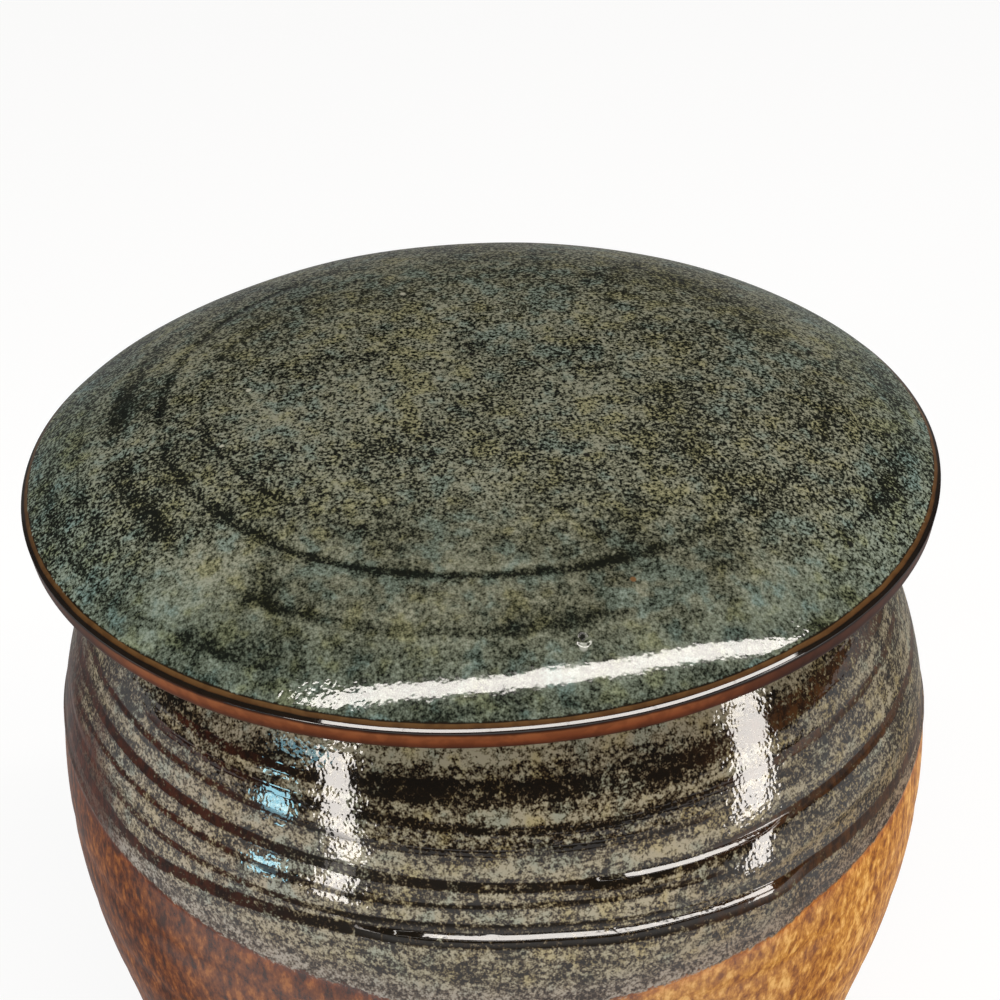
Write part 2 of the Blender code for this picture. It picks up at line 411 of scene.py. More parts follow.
def ledge(angle, level, points, slopes, flat, flat_end):
    """The wall's offset round a ledge in millimetres, and how near its flat top is, from 0 to 1."""
    off = level - line_at(angle, points)
    flat = flat * ease((flat_end - angle) / FLAT_FADE)
    lean = wall_lean(level * MM)
    tilt = np.interp(angle, [p[0] for p in LEDGE_TILTS], [p[1] for p in LEDGE_TILTS])
    rise = np.radians(tilt) - np.arctan(lean)
    down_the_wall = -off * np.hypot(1, lean)
    offset = swell(off, slopes) + np.tan(rise) * np.clip(down_the_wall, 0, flat * np.cos(rise))
    offset -= np.sin(rise) * flat * ease((down_the_wall - STEP_END) / STEP_FADE)
    along = ease((angle - points[0][0]) / LEDGE_FADE) * ease((points[-1][0] - angle) / LEDGE_FADE)
    return offset * along, ease(1.6 - np.abs(off + 0.3)) * along * ease(flat)


# %% Press the lines into the jar
# A point this near to the plain curve belongs to it.
ON_CURVE = 0.01 * MM
# The marks fade over this much of the wall, where it turns into the lip and the foot.
MARK_FADE = 4 * MM
# Above 1, so that a line is darkest over a band and not only on its crest.
JAR_PLATEAU = 1.6
# A hand-turned wall wanders: how far, how many waves, how tall they wind, where they start.
WALL_WANDER = ((0.07, 2, 16, 0.0), (0.05, 3, -12, 1.3))
# How much is bare on top of the rim, and how far inside the wall's curve its inner side begins.
BARE_LIP = 0.9 * MM
INNER_SIDE = 0.5 * MM
# What isn't the outer wall counts as this far above the glaze's line.
FAR_ABOVE = 30.0


def press_jar(piece):
    """Moves the wall's points for every mark, and keeps what the glaze has to know."""
    points = read_points(piece)
    radius = np.hypot(points[:, 0], points[:, 1])
    height = points[:, 2]
    angle = front_angle(points)
    level = height / MM
    safe = np.clip(height, BASE_BEVEL, lip_centre)
    on_wall = (height > BASE_BEVEL) & (height < lip_centre)
    on_wall &= np.abs(radius - wall_radius(safe)) < ON_CURVE
    strength = on_wall * ease((lip_centre - height) / MARK_FADE) * ease((height - BASE_BEVEL) / MARK_FADE)

    outwards = np.zeros_like(radius)
    dark = np.zeros_like(radius)
    pale = np.zeros_like(radius)
    for line, half_width, darkness, ridge in JAR_LINES:
        here = stroke(angle, level, line, half_width)
        dark = np.maximum(dark, ease(here * JAR_PLATEAU) * darkness)
        outwards += here * ridge
    for line, rise, half_width, depth, paleness in JAR_VALLEYS_AND_SHEEN:
        here = stroke(angle, level - rise, line, half_width)
        pale = np.maximum(pale, ease(here * JAR_PLATEAU) * paleness)
        outwards -= here * depth
    slick = np.zeros_like(radius)
    for line, slopes, flat, flat_end in LEDGES:
        offset, near = ledge(angle, level, line, slopes, flat, flat_end)
        outwards += offset
        slick = np.maximum(slick, near)
    for line in FOOT_LINES:
        here = stroke(angle, level, line, FOOT_LINE_HALF_WIDTH)
        outwards -= here * FOOT_LINE_DEPTH
    above = level - line_at(angle, GLAZE_LINE)
    roll = np.clip(1 - np.abs(above - GLAZE_ROLL_RISE) / GLAZE_ROLL_HALF_WIDTH, 0, 1)
    outwards += GLAZE_ROLL * ease(roll)
    for far, waves, tall, start in WALL_WANDER:
        outwards += far * np.sin(waves * np.radians(angle) + level / tall + start)

    lean = wall_lean(safe)
    across = 1 / np.hypot(1, lean)
    moved = outwards * MM * strength
    out = points[:, :2] / np.maximum(radius, SAME_POINT)[:, None]
    points[:, :2] += out * (moved * across)[:, None]
    points[:, 2] += moved * across * lean
    write_points(piece, points)
    inner = (radius < wall_radius(safe) - INNER_SIDE) & (height > FLOOR - ON_CURVE)
    keep_attribute(piece, "dark_line", dark * on_wall)
    keep_attribute(piece, "pale_valley", pale * on_wall)
    keep_attribute(piece, "slick", slick * on_wall)
    keep_attribute(piece, "above_line", np.where(on_wall, above, FAR_ABOVE))
    keep_attribute(piece, "inside", inner)
    keep_attribute(piece, "on_lip", height > BODY_HEIGHT - BARE_LIP)
    reach = [round(float(end / MM), 2) for end in (moved.min(), moved.max())]
    print("Jar's wall, moved from and to, in mm:", reach)


press_jar(jar)

# %% [markdown]
# ## A rim that isn't level
# The rim rises to the right by two degrees, as the lid in the photograph does. Wet clay sags like this
# when a pot is lifted off the wheel. Only the top of the wall leans, and the lean fades out below.

# %% Lean the rim
RIM_LEAN = math.radians(2.05)
LEAN_REACH = 25.0 * MM


def lean_rim(piece):
    """Lifts the rim at the right and lowers it at the left."""
    points = read_points(piece)
    share = (points[:, 2] - (BODY_HEIGHT - LEAN_REACH)) / (LEAN_REACH - LIP_RADIUS)
    points[:, 2] += points[:, 0] * math.tan(RIM_LEAN) * ease(share)
    write_points(piece, points)


lean_rim(jar)

# %% [markdown]
# ## The lid's outline
# The lid is a shallow dome, flat in the middle, with a rounded edge that the potter trimmed with two
# strokes of a tool: a narrow upper facet, and a taller one under it. Between them stands a narrow bead,
# which mirrors a light as a thin line, and the glaze breaks at the corner under it. Under the lid a
# flange drops into the mouth, which is what keeps the lid in place. It doesn't show until the lid is
# lifted.

# %% The lid's sizes, in its own frame: its widest line lies at height 0
LID_RADIUS = 65.0 * MM
LID_CROWN = 17.2 * MM
LID_WALL = 5.5 * MM
EDGE_RADIUS = 2.5 * MM
EDGE_TURN = 53
SEAT_RISE = 3.5 * MM
SEAT_GAP = 0.3 * MM
LID_SHIFT = 2.0 * MM
SEAT_OUTER = RIM_RADIUS + LID_SHIFT + 2.0 * MM
FLANGE_RADIUS = RIM_RADIUS - WALL - 2.4 * MM
FLANGE_WALL = 4.0 * MM
FLANGE_DEPTH = 9.5 * MM
FLANGE_ROUND = 1.5 * MM
DOME_EDGE = LID_RADIUS - EDGE_RADIUS + EDGE_RADIUS * math.cos(math.radians(EDGE_TURN))
DOME_FOOT = EDGE_RADIUS * math.sin(math.radians(EDGE_TURN))

# The trimmed edge: a narrow bead between its two facets, and where the lower facet starts to turn under.
BEAD_TOP = (64.66 * MM, 1.305 * MM)
BEAD_TILT = math.radians(46)
BEAD_WIDTH = 0.62 * MM
EDGE_CORNER = (
    BEAD_TOP[0] + BEAD_WIDTH * math.sin(BEAD_TILT),
    BEAD_TOP[1] - BEAD_WIDTH * math.cos(BEAD_TILT),
)
EDGE_HEEL = (64.62 * MM, -1.35 * MM)
EDGE_TOE = (64.2 * MM, -2.35 * MM)
TOE_ROUND = 0.9 * MM
CORNER_ROUND = 0.08 * MM
CEILING_ROUND = 0.8 * MM
SEAT_ROUND = 0.5 * MM
CEILING_POINTS = 14
DOME_POINTS = 118


def dome_height(radius):
    """The lid's top above its widest line."""
    rise = LID_CROWN - DOME_FOOT
    power = DOME_EDGE / (rise * math.tan(math.radians(EDGE_TURN)))
    return DOME_FOOT + rise * (1 - (radius / DOME_EDGE) ** power)


def rounded_corner(before, corner, after, size, steps):
    """A corner eased by a short curve that starts and ends this far from it."""
    corner = Vector(corner)
    start = corner + (Vector(before) - corner).normalized() * size
    end = corner + (Vector(after) - corner).normalized() * size
    shares = [i / steps for i in range(steps + 1)]
    return [tuple(start.lerp(corner, t).lerp(corner.lerp(end, t), t)) for t in shares]


def straight(start, end, steps):
    """Points from start to end, without start."""
    return [tuple(Vector(start).lerp(Vector(end), i / steps)) for i in range(1, steps + 1)]


# %% Draw the lid's outline, from the middle of its underside to the middle of its top
flange_inner = FLANGE_RADIUS - FLANGE_WALL
flange_end = SEAT_RISE - FLANGE_DEPTH
ceiling = np.linspace(0, flange_inner - CEILING_ROUND, CEILING_POINTS)
lid_outline = [(radius, dome_height(radius) - LID_WALL) for radius in ceiling]
ceiling_end = lid_outline[-1]
lid_outline += arc((ceiling_end[0], ceiling_end[1] - CEILING_ROUND), CEILING_ROUND, 90, 0, 4)[1:]
lid_outline += straight(lid_outline[-1], (flange_inner, flange_end + FLANGE_ROUND), 12)
lid_outline += arc((flange_inner + FLANGE_ROUND, flange_end + FLANGE_ROUND), FLANGE_ROUND, 180, 270, 5)[1:]
lid_outline += arc((FLANGE_RADIUS - FLANGE_ROUND, flange_end + FLANGE_ROUND), FLANGE_ROUND, -90, 0, 5)
lid_outline += straight(lid_outline[-1], (FLANGE_RADIUS, SEAT_RISE - SEAT_ROUND), 10)
lid_outline += arc((FLANGE_RADIUS + SEAT_ROUND, SEAT_RISE - SEAT_ROUND), SEAT_ROUND, 180, 90, 4)[1:]
lid_outline += straight(lid_outline[-1], (SEAT_OUTER, SEAT_RISE), 9)
under_edge = (LID_RADIUS - EDGE_RADIUS, -EDGE_RADIUS)
lid_outline += straight(lid_outline[-1], under_edge, 12)
lid_outline += rounded_corner(under_edge, EDGE_TOE, EDGE_HEEL, TOE_ROUND, 6)
corner_points = rounded_corner(EDGE_HEEL, EDGE_CORNER, BEAD_TOP, CORNER_ROUND, 4)
bead_points = rounded_corner(EDGE_CORNER, BEAD_TOP, (DOME_EDGE, DOME_FOOT), CORNER_ROUND, 4)
lid_outline += straight(lid_outline[-1], corner_points[0], 6)[:-1] + corner_points
lid_outline += straight(lid_outline[-1], bead_points[0], 4)[:-1] + bead_points
lid_outline += straight(lid_outline[-1], (DOME_EDGE, DOME_FOOT), 4)
dome_radii = DOME_EDGE * np.linspace(1, 0, DOME_POINTS)
lid_outline += [(radius, dome_height(radius)) for radius in dome_radii[1:]]
print("The lid's outline has", len(lid_outline), "points")

lid = turn_on_wheel("glazed_lid", lid_outline)

# %% [markdown]
# ## The lid's rings
# The rings on the lid are shallow and uneven. The strongest keeps its distance from the middle at the
# left and in front, and on the right it runs outwards and dies. They are drawn with the same strokes as
# on the jar, by radius.

# %% The lid's lines, in degrees and millimetres from its middle
INNER_RING = ((-170, 36.0), (-137, 36.9), (-110, 38.0), (-90, 38.7), (-60, 38.0), (-28, 37.9))
INNER_RING_RIGHT = ((-55, 38.0), (-5, 38.4), (30, 39.2), (60, 41.8))
MAIN_RING = (
    (-156, 44.2), (-122, 44.6), (-100, 44.7), (-75, 44.5), (-50, 44.3), (-20, 44.7), (5, 44.7),
    (24, 45.3), (40, 46.2),
)
MAIN_RING_RIGHT = ((10, 44.9), (36, 46.0), (60, 47.6), (76, 48.8), (100, 49.8))
RIGHT_RING = ((95, 43.6), (115, 44.0), (150, 44.2), (179, 43.8))
WIDE_RING_LEFT = ((-130, 51.2), (-105, 51.2), (-80, 50.9), (-45, 50.8))
WIDE_RING_FRONT = ((-48, 52.4), (-32, 52.8), (-10, 53.0), (12, 53.0), (34, 53.0))
RIGHT_SHADE = ((52, 56.8), (75, 58.6), (100, 60.6), (125, 61.0))
OUTER_LEFT = ((-118, 57.2), (-95, 57.0), (-62, 56.8))
HALO = ((-150, 52.6), (-125, 53.6), (-100, 54.5), (-60, 55.0), (-35, 55.0))
FRONT_HALO = ((-45, 54.2), (-10, 54.2), (45, 54.4))
EDGE_SHADE_LEFT = ((-100, 61.4), (-72, 61.0), (-45, 60.4), (-18, 60.2))

# Points, half width, how dark, depth of the groove.
LID_LINES = (
    (INNER_RING, 0.9, 0.70, 0.04),
    (INNER_RING_RIGHT, 0.8, 0.30, 0.02),
    (MAIN_RING, 1.05, 1.15, 0.11),
    (MAIN_RING_RIGHT, 1.0, 0.55, 0.03),
    (RIGHT_RING, 0.9, 0.30, 0.03),
    (WIDE_RING_LEFT, 2.4, 0.95, 0.08),
    (WIDE_RING_FRONT, 1.2, 0.52, 0.0),
    (RIGHT_SHADE, 1.8, 0.55, 0.05),
    (OUTER_LEFT, 1.3, 0.60, 0.04),
    (EDGE_SHADE_LEFT, 1.0, 0.45, 0.02),
)

# Swellings between the rings, which the glaze makes paler: points, half width, how pale, height.
LID_SWELLS = (
    (HALO, 1.0, 0.80, 0.05),
    (FRONT_HALO, 0.8, 0.55, 0.0),
    (((-150, 42.9), (-60, 42.7), (0, 43.2), (60, 45.6)), 1.3, 0.40, 0.03),
    (((-60, 47.6), (0, 48.8), (60, 51.8)), 2.6, 0.35, 0.08),
    (((-60, 33.0), (-25, 33.5), (25, 35.0)), 4.0, 0.35, 0.01),
)

# Clouds of dark grains: angle, radius, half length along the ring, half width across it, how dark.
LID_CLOUDS = (
    (-96, 50.6, 6.0, 3.6, 0.55), (-65, 50.4, 5.5, 3.4, 0.50), (-35, 50.6, 3.2, 2.0, 0.80),
    (-75, 61.2, 5.0, 1.4, 0.80), (-70, 56.5, 2.5, 1.4, 0.60), (76, 58.4, 12.0, 2.6, 0.42),
    (101, 59.4, 9.0, 2.4, 0.45), (-120, 59.0, 7.0, 2.4, 0.40), (18, 40.5, 7.0, 3.0, 0.25),
    (-38, 57.6, 13.0, 4.5, 0.72), (4, 57.0, 12.0, 4.0, 0.25), (40, 50.0, 8.0, 4.0, 0.20),
    (-28, 52.2, 6.5, 1.8, 0.45), (12, 51.6, 6.0, 1.6, 0.28), (86, 49.2, 3.5, 1.1, 0.50),
    (121, 50.2, 3.0, 1.4, 0.60), (60, 47.6, 6.0, 0.9, 0.25),
)

# Paler streaks that run outwards across the rings: angle, where they start and where they end.
LID_COLUMNS = ((-84, 26, 62), (-45, 44, 62), (-72, 22, 38))
COLUMN_HALF_ANGLE = 4.5
# How much of the dark they take away, and how pale they are.
COLUMN_CLEARS = 0.65
COLUMN_PALENESS = 0.7

# %% Press the rings into the lid
# Degrees over which a ring and a swelling fade at their ends, and how broad a ring's dark band is.
RING_FADE = 22.0
SWELLING_FADE = 25.0
LID_PLATEAU = 1.5
# Near the front edge the lid was wiped smooth with a wet sponge: from which radius on, and how far round.
WIPED_FROM = 49
WIPED_MIDDLE = 2
WIPED_HALF_ANGLE = 58
# The whole dome is a little uneven, and all its marks fade over its last stretch.
DOME_WAVE = 0.05
DOME_FADE = 3 * MM
# The trimmed edge wavers, as a hand-held tool does: how far, how many waves, where they start. The dome
# follows it more and more from this radius on, over this much of it.
EDGE_WAVER = ((0.10, 3, 0.6), (0.07, 7, 2.0), (0.04, 13, 0.0))
WAVER_FROM = 22
WAVER_SPREAD = 42
# The edge begins outside the first radius. Inside the second, what is this far under the dome is the
# underside, and counts as far below the edge's corner.
EDGE_BEGINS = 62.6
UNDERSIDE_ENDS = 62.4
UNDERSIDE_DEPTH = 1.5 * MM
FAR_BELOW = -9.0


def press_lid(piece):
    """Moves the dome's and the edge's points, and keeps what the glaze has to know."""
    points = read_points(piece)
    radius = np.hypot(points[:, 0], points[:, 1])
    angle = front_angle(points)
    place = radius / MM
    safe = np.minimum(radius, DOME_EDGE)
    on_dome = np.abs(points[:, 2] - dome_height(safe)) < ON_CURVE
    on_dome &= radius <= DOME_EDGE + SAME_POINT

    down = np.zeros_like(radius)
    dark = np.zeros_like(radius)
    pale = np.zeros_like(radius)
    for line, half_width, darkness, depth in LID_LINES:
        here = stroke(angle, place, line, half_width, RING_FADE)
        dark = np.maximum(dark, ease(here * LID_PLATEAU) * darkness)
        down += here * depth
    for line, half_width, paleness, height in LID_SWELLS:
        here = stroke(angle, place, line, half_width, SWELLING_FADE)
        pale = np.maximum(pale, here * paleness)
        down -= here * height
    turns = np.radians(angle)
    for cloud_angle, cloud_radius, length, width, darkness in LID_CLOUDS:
        along = np.radians(angle - cloud_angle) * cloud_radius / length
        dark += np.exp(-(along**2) - ((place - cloud_radius) / width) ** 2) * darkness
    for column_angle, inner, outer in LID_COLUMNS:
        column = np.exp(-(((angle - column_angle) / COLUMN_HALF_ANGLE) ** 2)) * ease((place - inner) / 6)
        column *= ease((outer - place) / 5)
        dark *= 1 - COLUMN_CLEARS * column
        pale = np.maximum(pale, COLUMN_PALENESS * column)
    down += DOME_WAVE * np.sin(2 * turns + place / 7) * ease(place / 30)
    down *= 1 - ease((place - WIPED_FROM) / 4) * ease((WIPED_HALF_ANGLE - np.abs(angle - WIPED_MIDDLE)) / 14)
    points[:, 2] -= down * MM * on_dome * ease((DOME_EDGE - radius) / DOME_FADE)
    waver = sum(far * np.sin(waves * turns + start) for far, waves, start in EDGE_WAVER)
    at_edge = ease((place - WAVER_FROM) / WAVER_SPREAD)
    points[:, 2] += waver * MM * at_edge * (on_dome | (place > EDGE_BEGINS))
    write_points(piece, points)

    # How far along the edge each point lies, up from the corner: the glaze's bands follow it.
    corner_r, corner_z = (value / MM for value in EDGE_CORNER)
    off_r, off_z = place - corner_r, points[:, 2] / MM - corner_z
    above_corner = np.where(off_z > 0, np.hypot(off_r, off_z), -np.hypot(off_r, off_z))
    beneath = (points[:, 2] < dome_height(safe) - UNDERSIDE_DEPTH) & (place < UNDERSIDE_ENDS)
    keep_attribute(piece, "dark_line", dark * on_dome)
    keep_attribute(piece, "pale_valley", pale * on_dome)
    keep_attribute(piece, "above_corner", np.where(beneath, FAR_BELOW, above_corner))
    keep_attribute(piece, "lid_radius", place)
    keep_attribute(piece, "lid_angle", angle)
    keep_attribute(piece, "beneath", beneath)
    print("Lid's top: down by up to", round(float(down.max()), 2), "mm")


press_lid(lid)

# %% [markdown]
# ## A burst bubble
# Near the front edge a bubble burst in the glaze and left a pinhole with a raised lip. It is smaller
# than the mesh's faces, so the faces round it are divided first, and then the new points are pushed
# down in the middle and up round the lip.

# %% Divide the faces round the pinhole and press it in
PINHOLE_ANGLE = math.radians(14.7)
PINHOLE_PLACE = 55.3 * MM
PINHOLE_RADIUS = 0.62
PINHOLE_DEPTH = 0.35
LIP_RISE = 0.10
# In the pinhole's own radius: how broad the hole is, where its lip stands, how broad that is, and how far
# points are moved.
HOLE_SPREAD = 0.62
LIP_PLACE = 1.15
LIP_SPREAD = 0.42
PINHOLE_REACH = 2.4
# Faces are divided this near to it.
DIVIDED_RADIUS = 2.4 * MM
# There only the lid's top is higher than this.
TOP_SIDE = 4 * MM


def pick(piece):
    """Selects this piece alone and makes it the active one."""
    bpy.ops.object.select_all(action="DESELECT")
    piece.select_set(True)
    bpy.context.view_layer.objects.active = piece


def press_pinhole(piece):
    """A hole with a raised lip, in a patch of finer faces."""
    centre = Vector((PINHOLE_PLACE * math.sin(PINHOLE_ANGLE), -PINHOLE_PLACE * math.cos(PINHOLE_ANGLE), 0))
    pick(piece)
    bpy.ops.object.mode_set(mode="EDIT")
    bpy.ops.mesh.select_mode(type="FACE")
    bpy.ops.mesh.select_all(action="DESELECT")
    bpy.ops.object.mode_set(mode="OBJECT")
    for face in piece.data.polygons:
        off = Vector((face.center.x - centre.x, face.center.y - centre.y, 0))
        face.select = off.length < DIVIDED_RADIUS and face.center.z > TOP_SIDE
    bpy.ops.object.mode_set(mode="EDIT")
    bpy.ops.mesh.subdivide(number_cuts=5, smoothness=0)
    bpy.ops.mesh.select_all(action="DESELECT")
    bpy.ops.object.mode_set(mode="OBJECT")
    points = read_points(piece)
    off = np.hypot(points[:, 0] - centre.x, points[:, 1] - centre.y) / MM / PINHOLE_RADIUS
    near = (off < PINHOLE_REACH) & (points[:, 2] > TOP_SIDE)
    hole = np.exp(-((off / HOLE_SPREAD) ** 2)) * PINHOLE_DEPTH
    lip = np.exp(-(((off - LIP_PLACE) / LIP_SPREAD) ** 2)) * LIP_RISE
    points[:, 2] += (lip - hole) * MM * near
    write_points(piece, points)
    print("Pinhole: moved", int(near.sum()), "points")


press_pinhole(lid)

# %% [markdown]
# ## Putting the lid on
# The lid leans with the rim and has slid to the left until its flange nearly touches the mouth. The
# object is turned and moved, and then the transform is applied, so that the place is in the mesh and
# patterns that read Object coordinates stay put.

# %% Place the lid, shade both pieces smooth, and hand them to their bodies
SHARP_CORNER = math.radians(50)


def finish_piece(piece, body, node):
    """Applies the piece's place, shades it, hangs it on its body, and hides the solid that it replaces."""
    pick(piece)
    bpy.ops.object.transform_apply(location=True, rotation=True, scale=True)
    bpy.ops.object.shade_smooth_by_angle(angle=SHARP_CORNER)
    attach(piece, body)
    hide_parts(node)


lean = Matrix.Rotation(-RIM_LEAN, 4, "Y")
lid.rotation_euler = lean.to_euler()
lid.location = Vector((0, 0, BODY_HEIGHT)) + lean @ Vector((-LID_SHIFT, 0, SEAT_GAP - SEAT_RISE))
finish_piece(lid, "lid", "lid")
finish_piece(jar, "jar", "jar_body")


# %% Measure the new pieces against the solids
MEASURED_STEP = 37


def distance_to(node, piece):
    """The furthest and the mean distance from some of the piece's points to the solid, in millimetres."""
    corners = [vertex.co for vertex in node.data.vertices]
    solid_faces = BVHTree.FromPolygons(corners, [face.vertices for face in node.data.polygons])
    gaps = [solid_faces.find_nearest(Vector(point))[3] / MM for point in read_points(piece)[::MEASURED_STEP]]
    return round(max(gaps), 2), round(sum(gaps) / len(gaps), 3)


for node_name, piece in (("jar_body", jar), ("lid", lid)):
    gaps = distance_to(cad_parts[node_name], piece)
    print(piece.name, "lies off its solid by at most and on average", gaps)

# %% [markdown]
# ## Writing a material as sums
# A node tree is a formula, and it is easier to read as one. The small class below wraps a socket, so
# that `1 - mask` or `grain * 0.3` adds the Math node by itself. Colours go through Mix nodes, because a
# Math node would turn them grey. Every other node comes from one method, `node`.

# %% A socket that Python's signs work on, and a recipe that makes nodes
class Wire:
    """One output of a node."""

    def __init__(self, recipe, socket):
        self.recipe = recipe
        self.socket = socket

    def __add__(self, other):
        return self.recipe.sum("ADD", self, other)

    def __sub__(self, other):
        return self.recipe.sum("SUBTRACT", self, other)

    def __mul__(self, other):
        return self.recipe.sum("MULTIPLY", self, other)

    __radd__ = __add__
    __rmul__ = __mul__

    def __rsub__(self, other):
        return self.recipe.sum("SUBTRACT", other, self)


class Recipe:
    """A material under construction."""

    def __init__(self, name):
        self.material = bpy.data.materials.new(name)
        self.material.use_nodes = True
        self.tree = self.material.node_tree
        self.tree.nodes.clear()

    def node(self, kind, settings=None, sockets=None, output=0):
        """Adds a node, sets its settings, then its sockets by name or number, and returns one output."""
        made = self.tree.nodes.new(kind)
        for name, value in (settings or {}).items():
            if name == "stops":
                self.set_stops(made.color_ramp, value)
            else:
                setattr(made, name, value)
        for key, value in (sockets or {}).items():
            shown = [s for s in made.inputs if s.enabled]
            target = shown[key] if isinstance(key, int) else next(s for s in shown if s.name == key)
            if isinstance(value, Wire):
                self.tree.links.new(value.socket, target)
            else:
                target.default_value = value
        if output is None:
            return None
        outputs = [s for s in made.outputs if s.enabled]
        picked = outputs[output] if isinstance(output, int) else next(s for s in outputs if s.name == output)
        return Wire(self, picked)

    def set_stops(self, ramp, stops):
        """Gives a colour ramp these stops and no others."""
        while len(ramp.elements) > 1:
            ramp.elements.remove(ramp.elements[-1])
        for i, (place, colour) in enumerate(stops):
            element = ramp.elements[0] if i == 0 else ramp.elements.new(place)
            element.position = place
            element.color = (*colour, 1.0)

    def finish(self, shader):
        """Sends a shader to the material's output."""
        self.node("ShaderNodeOutputMaterial", None, {"Surface": shader}, output=None)
        return self.material

    def sum(self, operation, a, b):
        """One Math node."""
        return self.node("ShaderNodeMath", {"operation": operation}, {0: a, 1: b})

    def most(self, a, b):
        """The greater of two values."""
        return self.sum("MAXIMUM", a, b)

    def step(self, value, low, high):
        """0 at low, 1 at high, with soft ends. Low may be the greater one."""
        settings = {"interpolation_type": "SMOOTHSTEP"}
        return self.node("ShaderNodeMapRange", settings, {"Value": value, "From Min": low, "From Max": high})

    def ramp(self, value, stops):
        """A colour for each value."""
        return self.node("ShaderNodeValToRGB", {"stops": stops}, {0: value})

    def mix(self, share, first, second, blend="MIX"):
        """Two colours: the first at 0, the second at 1."""
        settings = {"data_type": "RGBA", "blend_type": blend}
        return self.node("ShaderNodeMix", settings, {"Factor": share, "A": first, "B": second})

    def tint(self, share, colour, tone):
        """A colour times a tone: unchanged at 0, all of it at 1."""
        return self.mix(share, colour, (*tone, 1.0), "MULTIPLY")

    def attribute(self, name):
        """A number that the mesh keeps for each point."""
        return self.node("ShaderNodeAttribute", {"attribute_name": name}, output="Fac")

    def place(self, factors=(1, 1, 1)):
        """The piece's own coordinates, each times its factor."""
        here = self.node("ShaderNodeTexCoord", output="Object")
        return self.node("ShaderNodeMapping", None, {"Vector": here, "Scale": factors})

    def axis(self, place, name):
        """One of a place's coordinates, in metres."""
        return self.node("ShaderNodeSeparateXYZ", None, {0: place}, output=name)

    def noise(self, place, scale, detail=2.0, rough=0.5, seed=0.0):
        """A cloudy pattern with values about 0.5. Each seed gives another one."""
        settings = {"noise_dimensions": "4D"}
        sockets = {"Vector": place, "W": seed, "Scale": scale, "Detail": detail, "Roughness": rough}
        return self.node("ShaderNodeTexNoise", settings, sockets)


def paint(red, green, blue):
    """A colour as a screen shows it, 0 to 255, as the linear values that a shader counts in."""
    shares = [value / 255 for value in (red, green, blue)]
    return tuple(s / 12.92 if s <= 0.04045 else ((s + 0.055) / 1.055) ** 2.4 for s in shares)


# %% [markdown]
# ## The speckled grey-green glaze
# Seen close, this glaze is salt and pepper: grains of a third of a millimetre, from nearly black to
# pale beige, about as many light as dark. A fine noise gives the grains, and a ramp turns its value
# into colour. Slower noises then make it live: clouds where the dark grains crowd, and patches a few
# millimetres wide that lean to olive or to slate blue. The throwing lines shift the same value, so a
# dark line is a place with more dark grains, as on the real pot, and not a painted stripe.

# %% Grains, clouds and patches
GRAIN_SCALE = 1900.0
CLOUD_SCALE = 95.0
BROAD_SCALE = 34.0
PATCH_SCALE = 300.0
BROAD_PATCH_SCALE = 70.0
# How far a full dark line lowers the value.
DARK_SHIFT = 0.085


def grains(recipe, place, seed, contrast=1.0, clump_scale=450.0, clump=0.18):
    """The value that decides a grain's colour: about 0.5, lower where the glaze is dark."""
    fine = recipe.noise(place, GRAIN_SCALE, detail=1.0, rough=0.85, seed=seed)
    clumps = recipe.noise(place, clump_scale, detail=1.0, seed=seed + 2)
    clouds = recipe.noise(place, CLOUD_SCALE, detail=3.0, rough=0.55, seed=seed + 3)
    broad = recipe.noise(place, BROAD_SCALE, detail=1.0, seed=seed + 5)
    slow = (clumps - 0.5) * clump + (clouds - 0.5) * 0.26 + (broad - 0.5) * 0.10
    return (fine - 0.5) * contrast + slow + 0.5


def tinted(recipe, place, colour, seed, olive=0.5, slate=0.5):
    """Leans patches of a colour towards olive and others towards slate blue."""
    patches = recipe.noise(place, PATCH_SCALE, detail=2.0, seed=seed)
    broad = recipe.noise(place, BROAD_PATCH_SCALE, detail=2.0, seed=seed + 1)
    value = patches + (broad - 0.5) * 0.6
    to_olive = recipe.step(value, 0.52, 0.68) * olive
    to_slate = recipe.step(value, 0.48, 0.32) * slate
    olive_glaze = recipe.tint(to_olive, colour, (1.14, 1.04, 0.62))
    return recipe.tint(to_slate, olive_glaze, (0.74, 0.98, 1.18))


LID_GRAINS = (
    (0.385, paint(16, 18, 11)),
    (0.435, paint(40, 42, 31)),
    (0.470, paint(68, 70, 56)),
    (0.500, paint(90, 91, 76)),
    (0.535, paint(108, 110, 93)),
    (0.570, paint(124, 126, 109)),
    (0.620, paint(143, 144, 126)),
)
JAR_GRAINS = (
    (0.380, paint(19, 13, 6)),
    (0.430, paint(38, 28, 17)),
    (0.465, paint(63, 53, 38)),
    (0.500, paint(89, 80, 63)),
    (0.535, paint(111, 103, 84)),
    (0.570, paint(131, 123, 102)),
    (0.620, paint(153, 145, 124)),
)

# %% [markdown]
# ## Where the pot is thinly glazed or bare
# Inside and underneath a potter glazes thinly, and what stands on the kiln's shelf or touches the lid is
# wiped clean, or it would stick there. The thin brown glaze is the same grains with warmer colours, and
# the bare, toasted clay has a recipe of its own.

# %% Thin glaze and bare clay
UNDER_GRAINS = (
    (0.30, paint(40, 24, 12)),
    (0.48, paint(92, 58, 30)),
    (0.62, paint(132, 92, 54)),
    (0.75, paint(164, 128, 88)),
)


def bare_clay_colour(recipe, place):
    """Fired clay without glaze: toasted buff, with darker grog in it."""
    toast = recipe.noise(place, 60.0, detail=3.0, seed=31.0)
    grog = recipe.noise(place, 1500.0, detail=1.0, seed=32.0)
    colour = recipe.ramp(toast, ((0.35, paint(128, 86, 56)), (0.65, paint(170, 126, 90))))
    return recipe.tint(recipe.step(grog, 0.38, 0.30) * 0.7, colour, (0.42, 0.34, 0.30))


